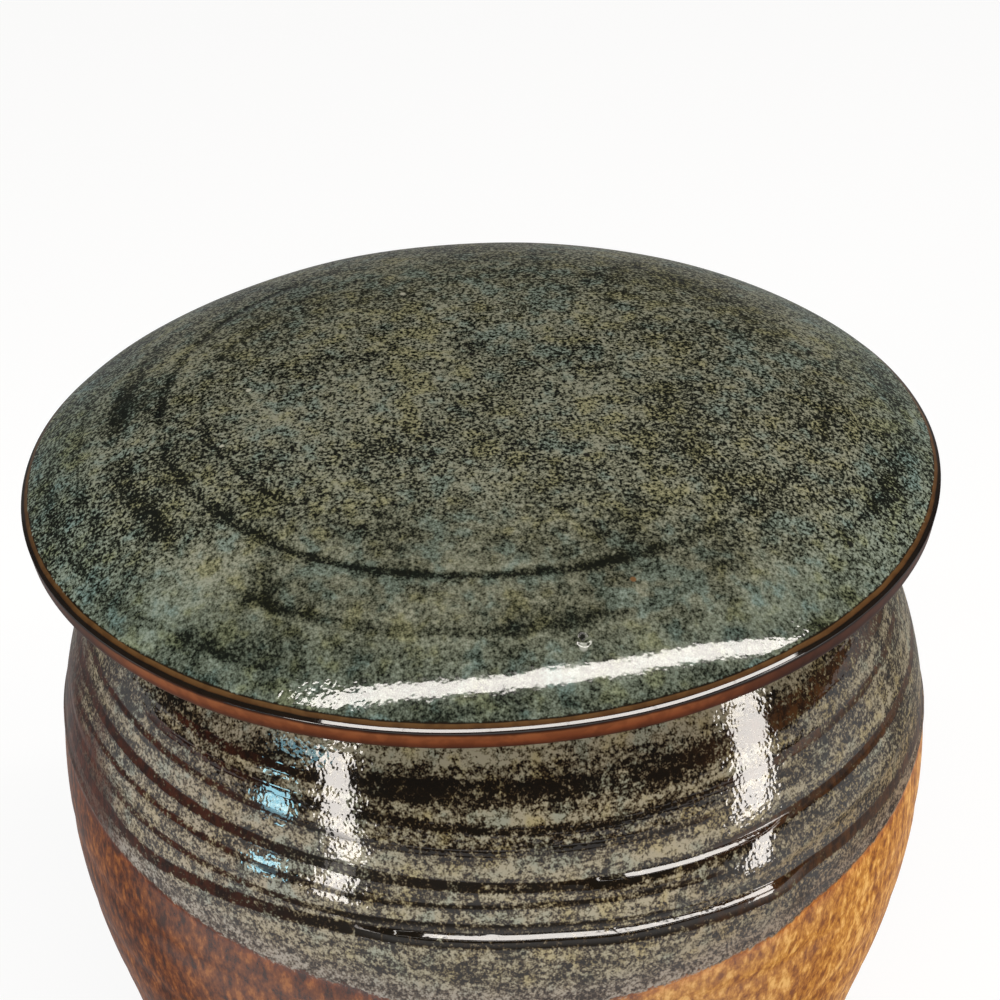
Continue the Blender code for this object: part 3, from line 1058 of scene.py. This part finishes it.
# %% [markdown]
# ## A surface that glints unevenly
# The glaze is glossy, but its grains stand up a few hundredths of a millimetre, so a reflection breaks
# into bright crumbs at its rim. That is a bump: it is far too fine for the mesh, and nobody sees it in
# outline. Two noises make it, a fine one and a softer orange-peel. Where the glaze is thin or gone, and
# where one looks along the surface, nothing mirrors, so a dull surface is mixed in there.

# %% The gloss and the grain's relief
GLOSS = 0.05
CLAY_ROUGHNESS = 0.6
BUMP_DISTANCE = 0.06 * MM
BUMP_SCALE = 1100.0
PEEL_SCALE = 260.0
SATIN_ROUGHNESS = 0.5
SATIN_SPECULAR = 0.04
# A surface that faces the camera counts 0, and one seen along itself 1: where it begins to turn dull,
# where it is dullest, and how dull that is.
ALONG_BEGINS = 0.38
ALONG_FULL = 0.66
ALONG_SHARE = 0.96


def glossy(recipe, colour, relief, roughness, dull=0.0):
    """A mirror-like surface, but dull by a share, and wherever it is seen along itself."""
    bump = {"Strength": 1.0, "Distance": BUMP_DISTANCE, "Height": relief}
    normal = recipe.node("ShaderNodeBump", None, bump)
    sockets = {"Base Color": colour, "Roughness": roughness, "IOR": 1.5, "Normal": normal}
    shiny = recipe.node("ShaderNodeBsdfPrincipled", None, sockets)
    sockets = {"Base Color": colour, "Roughness": SATIN_ROUGHNESS, "Normal": normal}
    sockets["Specular IOR Level"] = SATIN_SPECULAR
    satin = recipe.node("ShaderNodeBsdfPrincipled", None, sockets)
    along = recipe.node("ShaderNodeLayerWeight", None, {"Blend": 0.5}, output="Facing")
    share = recipe.most(recipe.step(along, ALONG_BEGINS, ALONG_FULL) * ALONG_SHARE, dull)
    return recipe.finish(recipe.node("ShaderNodeMixShader", None, {0: share, 1: shiny, 2: satin}))


# %% [markdown]
# ## The lid's glaze
# On the lid the glaze is bluest at the rim and warmest towards the front. At the trimmed edge it ran
# off the corner and broke: a dark line, an olive-brown band, the corner itself, then rust. The bands
# follow the distance from the corner, which the mesh keeps, so they run round the edge at one width.

# %% The lid's specks and its edge
# Single specks that stand out: angle, radius, size in millimetres, colour.
WHITE_SPECK = paint(178, 176, 160)
DARK_SPECK = paint(30, 30, 24)
ORANGE_SPECK = paint(112, 82, 52)
# A painted highlight: the light's reflection just below the pinhole.
PAINTED_GLINT = paint(158, 156, 144)
LID_SPECKS = (
    (-90.5, 32.0, 0.5, WHITE_SPECK), (-70.0, 37.5, 0.4, WHITE_SPECK), (-156.8, 27.2, 0.5, WHITE_SPECK),
    (-173.8, 5.5, 0.6, DARK_SPECK), (35.5, 26.2, 0.6, DARK_SPECK), (107.0, 49.8, 0.7, DARK_SPECK),
    (85.6, 49.0, 0.6, DARK_SPECK), (124.9, 51.1, 0.7, DARK_SPECK), (25.3, 48.9, 0.5, ORANGE_SPECK),
    (60.0, 58.5, 0.6, DARK_SPECK), (74.0, 60.0, 0.5, DARK_SPECK), (88.0, 57.6, 0.6, DARK_SPECK),
    # At the pinhole: painted shade in the hole, and below it a painted highlight.
    (14.6, 54.9, 0.62, DARK_SPECK), (14.4, 56.4, 0.70, PAINTED_GLINT),
)
# The edge's colours by the distance from its corner: 0 is 4 mm under it, 1 is 4 mm above it.
EDGE_BANDS = (
    (0.10, paint(58, 34, 20)),
    (0.22, paint(88, 44, 24)),
    (0.30, paint(118, 64, 36)),
    (0.41, paint(130, 76, 44)),
    (0.455, paint(60, 30, 16)),
    (0.49, paint(26, 17, 10)),
    (0.575, paint(22, 16, 9)),
    (0.600, paint(80, 54, 30)),
    (0.660, paint(92, 66, 38)),
    (0.680, paint(24, 18, 11)),
    (0.70, paint(30, 26, 16)),
)


def edge_glaze(recipe, place, angle, above):
    """The glaze's bands along the trimmed edge."""
    waver = recipe.noise(place, 160.0, detail=2.0, seed=11.0)
    edge = recipe.ramp((above + (waver - 0.5) * 0.5) * 0.125 + 0.5, EDGE_BANDS)
    # Rust shows between the left front and the right front, and turns dark brown beyond.
    rust = recipe.step(angle, 42.0, 22.0) * recipe.step(angle, -58.0, -40.0)
    brown = recipe.tint(1.0, edge, (0.24, 0.24, 0.30))
    edge = recipe.mix(recipe.most(rust, recipe.step(above, -0.2, 0.2)), brown, edge)
    streaks = recipe.noise(place, 420.0, detail=2.0, seed=13.0)
    return recipe.tint(recipe.step(streaks, 0.58, 0.40) * 0.55, edge, (0.55, 0.5, 0.5))


# %% Mix the lid's glaze
def lid_material():
    """Speckled glaze on top, broken glaze on the edge, thin glaze and bare clay underneath."""
    recipe = Recipe("lid_speckled_glaze")
    place = recipe.place()
    dark = recipe.attribute("dark_line")
    pale = recipe.attribute("pale_valley")
    radius = recipe.attribute("lid_radius")
    angle = recipe.attribute("lid_angle")
    above = recipe.attribute("above_corner")
    beneath = recipe.attribute("beneath")

    # The grains are blurred together at the front, and crisp elsewhere.
    front = recipe.step(recipe.axis(place, "Y"), -0.018, -0.045)
    contrast = 0.96 - front * 0.60
    value = grains(recipe, place, seed=1.0, contrast=contrast, clump=front * 0.02 + 0.16)
    value = value - dark * DARK_SHIFT + pale * 0.042
    colour = recipe.ramp(value, LID_GRAINS)
    colour = tinted(recipe, place, colour, seed=7.0, olive=0.50, slate=0.65)
    for speck_angle, speck_radius, size, speck_colour in LID_SPECKS:
        across = radius - speck_radius
        along = (angle - speck_angle) * math.radians(speck_radius)
        speck = recipe.step(across * across + along * along, size**2, (0.5 * size) ** 2)
        colour = recipe.mix(speck, colour, (*speck_colour, 1.0))
    colour = recipe.tint(recipe.step(radius, 50.0, 62.0) * 0.55, colour, (0.70, 0.92, 1.06))
    on_edge = recipe.step(above + (value - 0.5) * 1.4, 1.75, 1.45)
    colour = recipe.mix(on_edge, colour, edge_glaze(recipe, place, angle, above))

    # Underneath: thin glaze inside the flange, and bare clay on the flange and the seat.
    thin = recipe.ramp(grains(recipe, place, seed=21.0), UNDER_GRAINS)
    on_flange = recipe.step(radius, 35.6, 36.6) * recipe.step(radius, 52.4, 51.6)
    under = recipe.mix(on_flange, thin, bare_clay_colour(recipe, place))
    colour = recipe.mix(beneath, colour, under)

    # The grains stand up most beside the front, where they break a reflection into crumbs.
    bumps = recipe.noise(place, BUMP_SCALE, detail=1.0, rough=0.6, seed=2.0)
    peel = recipe.noise(place, PEEL_SCALE, detail=1.0, seed=4.0)
    sides = recipe.step(angle, -10.0, -24.0) + recipe.step(angle, 36.0, 48.0)
    relief = bumps * (sides * 0.85 + 0.15) * (1 - on_edge * 0.9) + peel * (0.24 - on_edge * 0.20)
    bare = on_flange * beneath
    roughness = bare * CLAY_ROUGHNESS + GLOSS
    # Of the edge only the bead is glossy: the band over it and the rust under it are dull.
    off_bead = recipe.most(recipe.step(above, 0.0, -0.25), recipe.step(above, 0.60, 0.72))
    dull = recipe.most(off_bead * recipe.step(above, 2.3, 1.9), bare)
    return glossy(recipe, colour, relief, roughness, dull)


lid.data.materials.clear()
lid.data.materials.append(lid_material())

# %% [markdown]
# ## The jar's two glazes
# The amber glaze ran: its colour lies in mottles that hang down a little, bright honey on the right and
# rusty brown on the left. A noise hangs down where the height's factor is less than 1, and it lies in
# level lines where that is much more than 1, and the jar has both. Where the grey-green lies over the
# amber it is thin, and it turns lavender grey.

# %% The jar's amber glaze
HANGING = (1.0, 1.0, 0.55)
HONEY = (
    (0.36, paint(116, 62, 8)),
    (0.45, paint(154, 96, 28)),
    (0.54, paint(186, 128, 50)),
    (0.65, paint(218, 170, 96)),
)
RUSTY = (
    (0.36, paint(48, 18, 4)),
    (0.46, paint(82, 37, 11)),
    (0.56, paint(112, 58, 20)),
    (0.66, paint(146, 86, 38)),
)


def amber_glaze(recipe, sideways, above):
    """Honey at the right and rusty at the left. Its two noises are returned as well."""
    runs = recipe.place(HANGING)
    streaks = recipe.noise(runs, 700.0, detail=3.0, rough=0.7, seed=17.0)
    broad = recipe.noise(runs, 90.0, detail=2.0, seed=18.0)
    mottles = streaks + (broad - 0.5) * 0.25
    to_right = recipe.step(sideways * 18.0 + (broad - 0.5) * 1.2, -0.35, 0.45)
    amber = recipe.mix(to_right, recipe.ramp(mottles, RUSTY), recipe.ramp(mottles, HONEY))
    # It darkens to rust right under the upper glaze's end.
    amber = recipe.tint(recipe.step(above, -2.6, -0.4) * 0.6, amber, (0.80, 0.52, 0.36))
    return amber, streaks, broad


# %% The jar's grey-green glaze
LAVENDER = ((0.40, paint(46, 34, 27)), (0.50, paint(102, 90, 80)), (0.60, paint(150, 140, 132)))


def upper_glaze(recipe, place, sideways, height, above, value):
    """Speckled: more violet at the left, lavender over the amber, and darker at the right by painted shade.
    """
    to_left = recipe.step(sideways, -0.010, -0.040)
    colour = recipe.ramp(value, JAR_GRAINS)
    olive = 0.5 - to_left * 0.25
    slate = to_left * 0.2 + 0.5
    colour = tinted(recipe, place, colour, seed=9.0, olive=olive, slate=slate)
    colour = recipe.tint(to_left * 0.8, colour, (1.0, 0.91, 0.93))
    colour = recipe.mix(recipe.step(above, 5.5, 1.0) * 0.8, colour, recipe.ramp(value, LAVENDER))
    # At the right the colour is darkened: painted shade that evens out the strong light on that side. Low
    # down there it is browner.
    colour = recipe.tint(recipe.step(sideways, 0.018, 0.050) * 0.6, colour, (0.66, 0.65, 0.61))
    low_right = recipe.step(sideways, 0.018, 0.045) * recipe.step(height, 0.0805, 0.0755)
    return recipe.tint(low_right * 0.8, colour, (0.84, 0.70, 0.54))


# %% Mix the jar's glazes
LEVEL_LINES = (1.0, 1.0, 9.0)
IRON = ((0.40, paint(34, 19, 9)), (0.62, paint(84, 52, 24)))
MAROON = ((0.40, paint(30, 10, 6)), (0.60, paint(74, 32, 17)))


def jar_material():
    """Two glazes outside, a thin one inside, and bare clay at the foot and on the rim."""
    recipe = Recipe("jar_two_glazes")
    place = recipe.place()
    sideways = recipe.axis(place, "X")
    height = recipe.axis(place, "Z")
    dark = recipe.attribute("dark_line")
    pale = recipe.attribute("pale_valley")
    slick = recipe.attribute("slick")
    above = recipe.attribute("above_line")

    fine_value = grains(recipe, place, seed=1.5, contrast=0.70, clump_scale=620.0, clump=0.34)
    # Between the drawn lines lie many fainter ones.
    level_lines = recipe.noise(recipe.place(LEVEL_LINES), 100.0, detail=2.0, seed=15.0)
    # Pale valleys raise the value: thicker glaze, and partly a painted reflection.
    value = fine_value - dark * DARK_SHIFT + pale * 0.048 + (level_lines - 0.5) * 0.26
    upper = upper_glaze(recipe, place, sideways, height, above, value)
    amber, streaks, broad = amber_glaze(recipe, sideways, above)

    # Dark lines lean to brown at the right and to maroon at the left.
    iron = recipe.ramp(streaks, IRON)
    maroon = recipe.ramp(streaks, MAROON)
    dark_line = recipe.step(dark, 0.3, 0.8) * recipe.step(value, 0.490, 0.415)
    upper = recipe.mix(dark_line * recipe.step(sideways, 0.022, 0.042) * 0.65, upper, iron)
    upper = recipe.mix(dark_line * recipe.step(sideways, -0.022, -0.045) * 0.65, upper, maroon)

    # The upper glaze ends in a ragged line, and at the far left it turns maroon, most of all low down.
    ragged = above + (streaks - 0.5) * 3.0 + (fine_value - 0.5) * 2.0
    colour = recipe.mix(recipe.step(ragged, -0.35, 0.35), amber, upper)
    clouded = recipe.noise(place, CLOUD_SCALE, detail=2.0, seed=19.0)
    further = recipe.step(height, 0.0830, 0.0760) * -0.0045
    maroon_side = recipe.step(sideways + (clouded - 0.5) * 0.016 + further, -0.0540, -0.0600)
    colour = recipe.mix(maroon_side * recipe.step(ragged, -1.5, 1.0) * 0.85, colour, maroon)

    # Inside, a thin brown glaze. The foot and the top of the rim were wiped bare for the kiln.
    liner = recipe.ramp(grains(recipe, place, seed=23.0), UNDER_GRAINS)
    colour = recipe.mix(recipe.attribute("inside"), colour, liner)
    wobble = (broad - 0.5) * 0.004
    bare = recipe.most(recipe.step(height + wobble, 0.0036, 0.0032), recipe.attribute("on_lip"))
    colour = recipe.mix(bare, colour, bare_clay_colour(recipe, place))

    # The grains stand up, but the dark lines, the ledges and the amber are slick.
    bumps = recipe.noise(place, BUMP_SCALE, detail=1.0, rough=0.6, seed=2.5)
    peel = recipe.noise(place, PEEL_SCALE, detail=1.0, seed=4.5)
    grainy = recipe.step(ragged, -2.0, 1.5) * (1 - recipe.step(dark, 0.5, 1.2) * 0.75) * (1 - slick * 0.75)
    relief = bumps * (grainy * 0.85 + 0.15) + peel * 0.12
    roughness = bare * CLAY_ROUGHNESS + GLOSS
    # Low on the jar the dark lines are dull, and so is the bare clay.
    level = height - sideways * sideways * 2.4
    thin_line = recipe.step(dark, 0.4, 1.0) * recipe.step(level, 0.0860, 0.0835) * (1 - slick)
    dull = recipe.most(thin_line * 0.9, bare)
    return glossy(recipe, colour, relief, roughness, dull)


jar.data.materials.clear()
jar.data.materials.append(jar_material())

# %% [markdown]
# ## Floor and world
# The photograph's background is plain white. The floor is a pale disc, so large that it reaches nearly to
# the horizon. It is lit as any floor is, so that it keeps the jar's soft shadow, and for rays from the
# camera or from a reflection it also shines a little, which lifts it to white without lighting the jar
# more. The world is a dim grey, so that the glaze's darks stay dark.

# %% Lay the floor
FLOOR_RADIUS = 30.0
FLOOR_SIDES = 96
FLOOR_COLOUR = (0.64, 0.64, 0.63, 1.0)
FLOOR_SHINE = 1.24
SHINE_SHARE = 0.70


def floor_material():
    """A dull floor that shines a little where it is seen."""
    recipe = Recipe("pale_floor")
    kinds = ("Camera", "Glossy", "Transmission")
    rays = [recipe.node("ShaderNodeLightPath", output=f"Is {kind} Ray") for kind in kinds]
    seen = recipe.most(recipe.most(rays[0], rays[1]), rays[2])
    lit = recipe.node("ShaderNodeBsdfDiffuse", None, {"Color": FLOOR_COLOUR})
    white = {"Color": (1.0, 1.0, 1.0, 1.0), "Strength": FLOOR_SHINE}
    shine = recipe.node("ShaderNodeEmission", None, white)
    return recipe.finish(recipe.node("ShaderNodeMixShader", None, {0: seen * SHINE_SHARE, 1: lit, 2: shine}))


bpy.ops.object.select_all(action="DESELECT")
bpy.ops.mesh.primitive_circle_add(vertices=FLOOR_SIDES, radius=FLOOR_RADIUS, fill_type="NGON")
floor = bpy.context.object
floor.name = "pale_floor"
floor.data.materials.append(floor_material())
floor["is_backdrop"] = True

WORLD_GREY = 0.09
world = bpy.data.worlds.new("dim_studio")
world.use_nodes = True
background = world.node_tree.nodes["Background"]
background.inputs["Color"].default_value = (WORLD_GREY, WORLD_GREY, WORLD_GREY, 1.0)
background.inputs["Strength"].default_value = 1.0
bpy.context.scene.world = world

# %% [markdown]
# ## The camera
# The photograph was taken from about 0.7 m away, looking down at 32 degrees, and its frame cuts close
# round the jar. The camera aims at the lid's plane, a little to one side of its middle.

# %% Place the camera
SENSOR = 36.0
LENS = 177.6
CAMERA_DISTANCE = 0.700
CAMERA_ELEVATION = math.radians(31.94)
AIM_HEIGHT = 0.108
AIM_RIGHT = 0.00089
AIM_BELOW = 0.003177

forward = Vector((0, math.cos(CAMERA_ELEVATION), -math.sin(CAMERA_ELEVATION)))
upward = Vector((0, math.sin(CAMERA_ELEVATION), math.cos(CAMERA_ELEVATION)))
camera_data = bpy.data.cameras.new("front_camera")
camera_data.sensor_width = SENSOR
camera_data.lens = LENS
camera = bpy.data.objects.new("front_camera", camera_data)
camera.location = Vector((AIM_RIGHT, 0, AIM_HEIGHT)) - forward * CAMERA_DISTANCE - upward * AIM_BELOW
camera.rotation_euler = (math.pi / 2 - CAMERA_ELEVATION, 0, 0)
bpy.context.scene.collection.objects.link(camera)
bpy.context.scene.camera = camera
bpy.context.scene.view_settings.view_transform = "Standard"

# %% [markdown]
# ## The lights
# A glazed pot is a mirror, so each light is placed where its reflection belongs. One long strip hangs
# over the lid and draws the bright line along its front. Two upright strips, at the left and the right
# front, draw the bright bars on the jar's shoulder, and two small cool ones the blue glints beside the
# left bar. A light's watts follow from how bright it looks and how large it is.

# %% Hang the lights
LID_TOP = 0.110
JAR_MIDDLE = Vector((0.0, 0.0, 0.085))
WARM = (1.0, 0.945, 0.890)
COOL = (0.42, 0.84, 1.0)


def add_light(name, place, aim, width, height, radiance, colour=WARM, roll=0.0):
    """A flat rectangular light at a place, turned to face the aim, as bright as its radiance says."""
    data = bpy.data.lights.new(name, "AREA")
    data.shape = "RECTANGLE"
    data.size = width
    data.size_y = height
    data.energy = radiance * math.pi * width * height
    data.color = colour
    light = bpy.data.objects.new(name, data)
    facing = (Vector(aim) - Vector(place)).to_track_quat("-Z", "Y")
    light.rotation_mode = "QUATERNION"
    light.rotation_quaternion = facing @ Matrix.Rotation(roll, 4, "Z").to_quaternion()
    light.location = place
    light.visible_camera = False
    bpy.context.scene.collection.objects.link(light)
    return light


def around_jar(azimuth, elevation, distance):
    """A place round the jar: azimuth 0 is straight in front, and plus is to the right."""
    turn, lift = math.radians(azimuth), math.radians(elevation)
    out = Vector((math.sin(turn) * math.cos(lift), -math.cos(turn) * math.cos(lift), math.sin(lift)))
    return JAR_MIDDLE + out * distance


# The strip over the lid is bent: it runs through these places, STRIP_HEIGHT over the lid.
STRIP_HEIGHT = 0.60
STRIP_WIDTH = 0.042
STRIP_RADIANCE = 19.0
STRIP_BENDS = ((-0.40, -0.180), (0.0, -0.166), (0.20, -0.112), (0.60, 0.048))
for i, (start, end) in enumerate(zip(STRIP_BENDS, STRIP_BENDS[1:])):
    start, end = (Vector((*place, LID_TOP + STRIP_HEIGHT)) for place in (start, end))
    middle = (start + end) / 2
    below = middle - Vector((0, 0, 1))
    length = (end - start).length
    light = add_light(f"overhead_{i}", middle, below, length, STRIP_WIDTH, STRIP_RADIANCE)
    light.rotation_mode = "XYZ"
    light.rotation_euler = (0, 0, math.atan2(end.y - start.y, end.x - start.x))

# The upright strips lean outwards at the top. Each has its name, azimuth, elevation, width, height,
# radiance, roll and colour.
SIDE_DISTANCE = 0.45
SIDE_STRIPS = (
    ("left_strip", -39.0, 10, 0.054, 0.33, 18.0, 14, WARM),
    ("right_strip", 66.6, 4.5, 0.080, 0.29, 16.5, -10, WARM),
    ("cool_strip", -53.3, 0.6, 0.054, 0.075, 17.0, 8, COOL),
    ("high_cool_strip", -53.5, 24, 0.100, 0.036, 6.0, 0, COOL),
)
for name, azimuth, elevation, width, height, radiance, roll, colour in SIDE_STRIPS:
    place = around_jar(azimuth, elevation, SIDE_DISTANCE)
    add_light(name, place, JAR_MIDDLE, width, height, radiance, colour, math.radians(roll))

# %% [markdown]
# ## A light for one narrow line
# The bead on the lid's edge shows as a thin bright line all along the front. A mirror sends the camera's
# ray on by the law of reflection, so that law tells where a lamp has to hang to be seen in the bead. Small
# soft boxes stand on those places, one for every ten degrees of the edge, and join into one ribbon.

# %% Place the soft boxes by reflection
SOFT_BOX_STEP = 10
SOFT_BOX_ANGLES = range(-14, 37, SOFT_BOX_STEP)
SOFT_BOX_DISTANCE = 1.0
SOFT_BOX_HEIGHT = 0.036
SOFT_BOX_RADIANCE = 19.0


def seen_in_bead(edge_angle):
    """A place on the bead, and where a light must be for the camera to see it there."""
    turn = math.radians(edge_angle)
    outwards = Vector((math.sin(turn), -math.cos(turn), 0))
    bead_normal = lean @ (outwards * math.cos(BEAD_TILT) + Vector((0, 0, math.sin(BEAD_TILT))))
    on_lid = outwards * LID_RADIUS + Vector((-LID_SHIFT, 0, -SEAT_RISE))
    bead_place = Vector((0, 0, BODY_HEIGHT)) + lean @ on_lid
    towards_camera = (camera.location - bead_place).normalized()
    towards_lamp = 2 * towards_camera.dot(bead_normal) * bead_normal - towards_camera
    return bead_place, bead_place + towards_lamp * SOFT_BOX_DISTANCE


for edge_angle in SOFT_BOX_ANGLES:
    bead_place, place = seen_in_bead(edge_angle)
    row_start = seen_in_bead(edge_angle - SOFT_BOX_STEP / 2)[1]
    row_end = seen_in_bead(edge_angle + SOFT_BOX_STEP / 2)[1]
    along_row = row_end - row_start
    name = f"soft_box_{edge_angle}"
    light = add_light(name, place, bead_place, along_row.length, SOFT_BOX_HEIGHT, SOFT_BOX_RADIANCE)
    # Its long side is turned to lie along the row.
    backwards = (place - bead_place).normalized()
    sidewards = (along_row - backwards * along_row.dot(backwards)).normalized()
    axes = Matrix((sidewards, backwards.cross(sidewards), backwards)).transposed()
    light.rotation_quaternion = axes.to_quaternion()

# %% [markdown]
# ## Checking the size
# The dressed jar has to stay the size of the solid. Both boxes are written down, to be compared.

# %% Write both boxes and finish
visual_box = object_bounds()
for side in range(3):
    before = cad_box[1][side] - cad_box[0][side]
    after = visual_box[1][side] - visual_box[0][side]
    print("xyz"[side], "solid", round(before / MM, 2), "dressed", round(after / MM, 2), "mm")
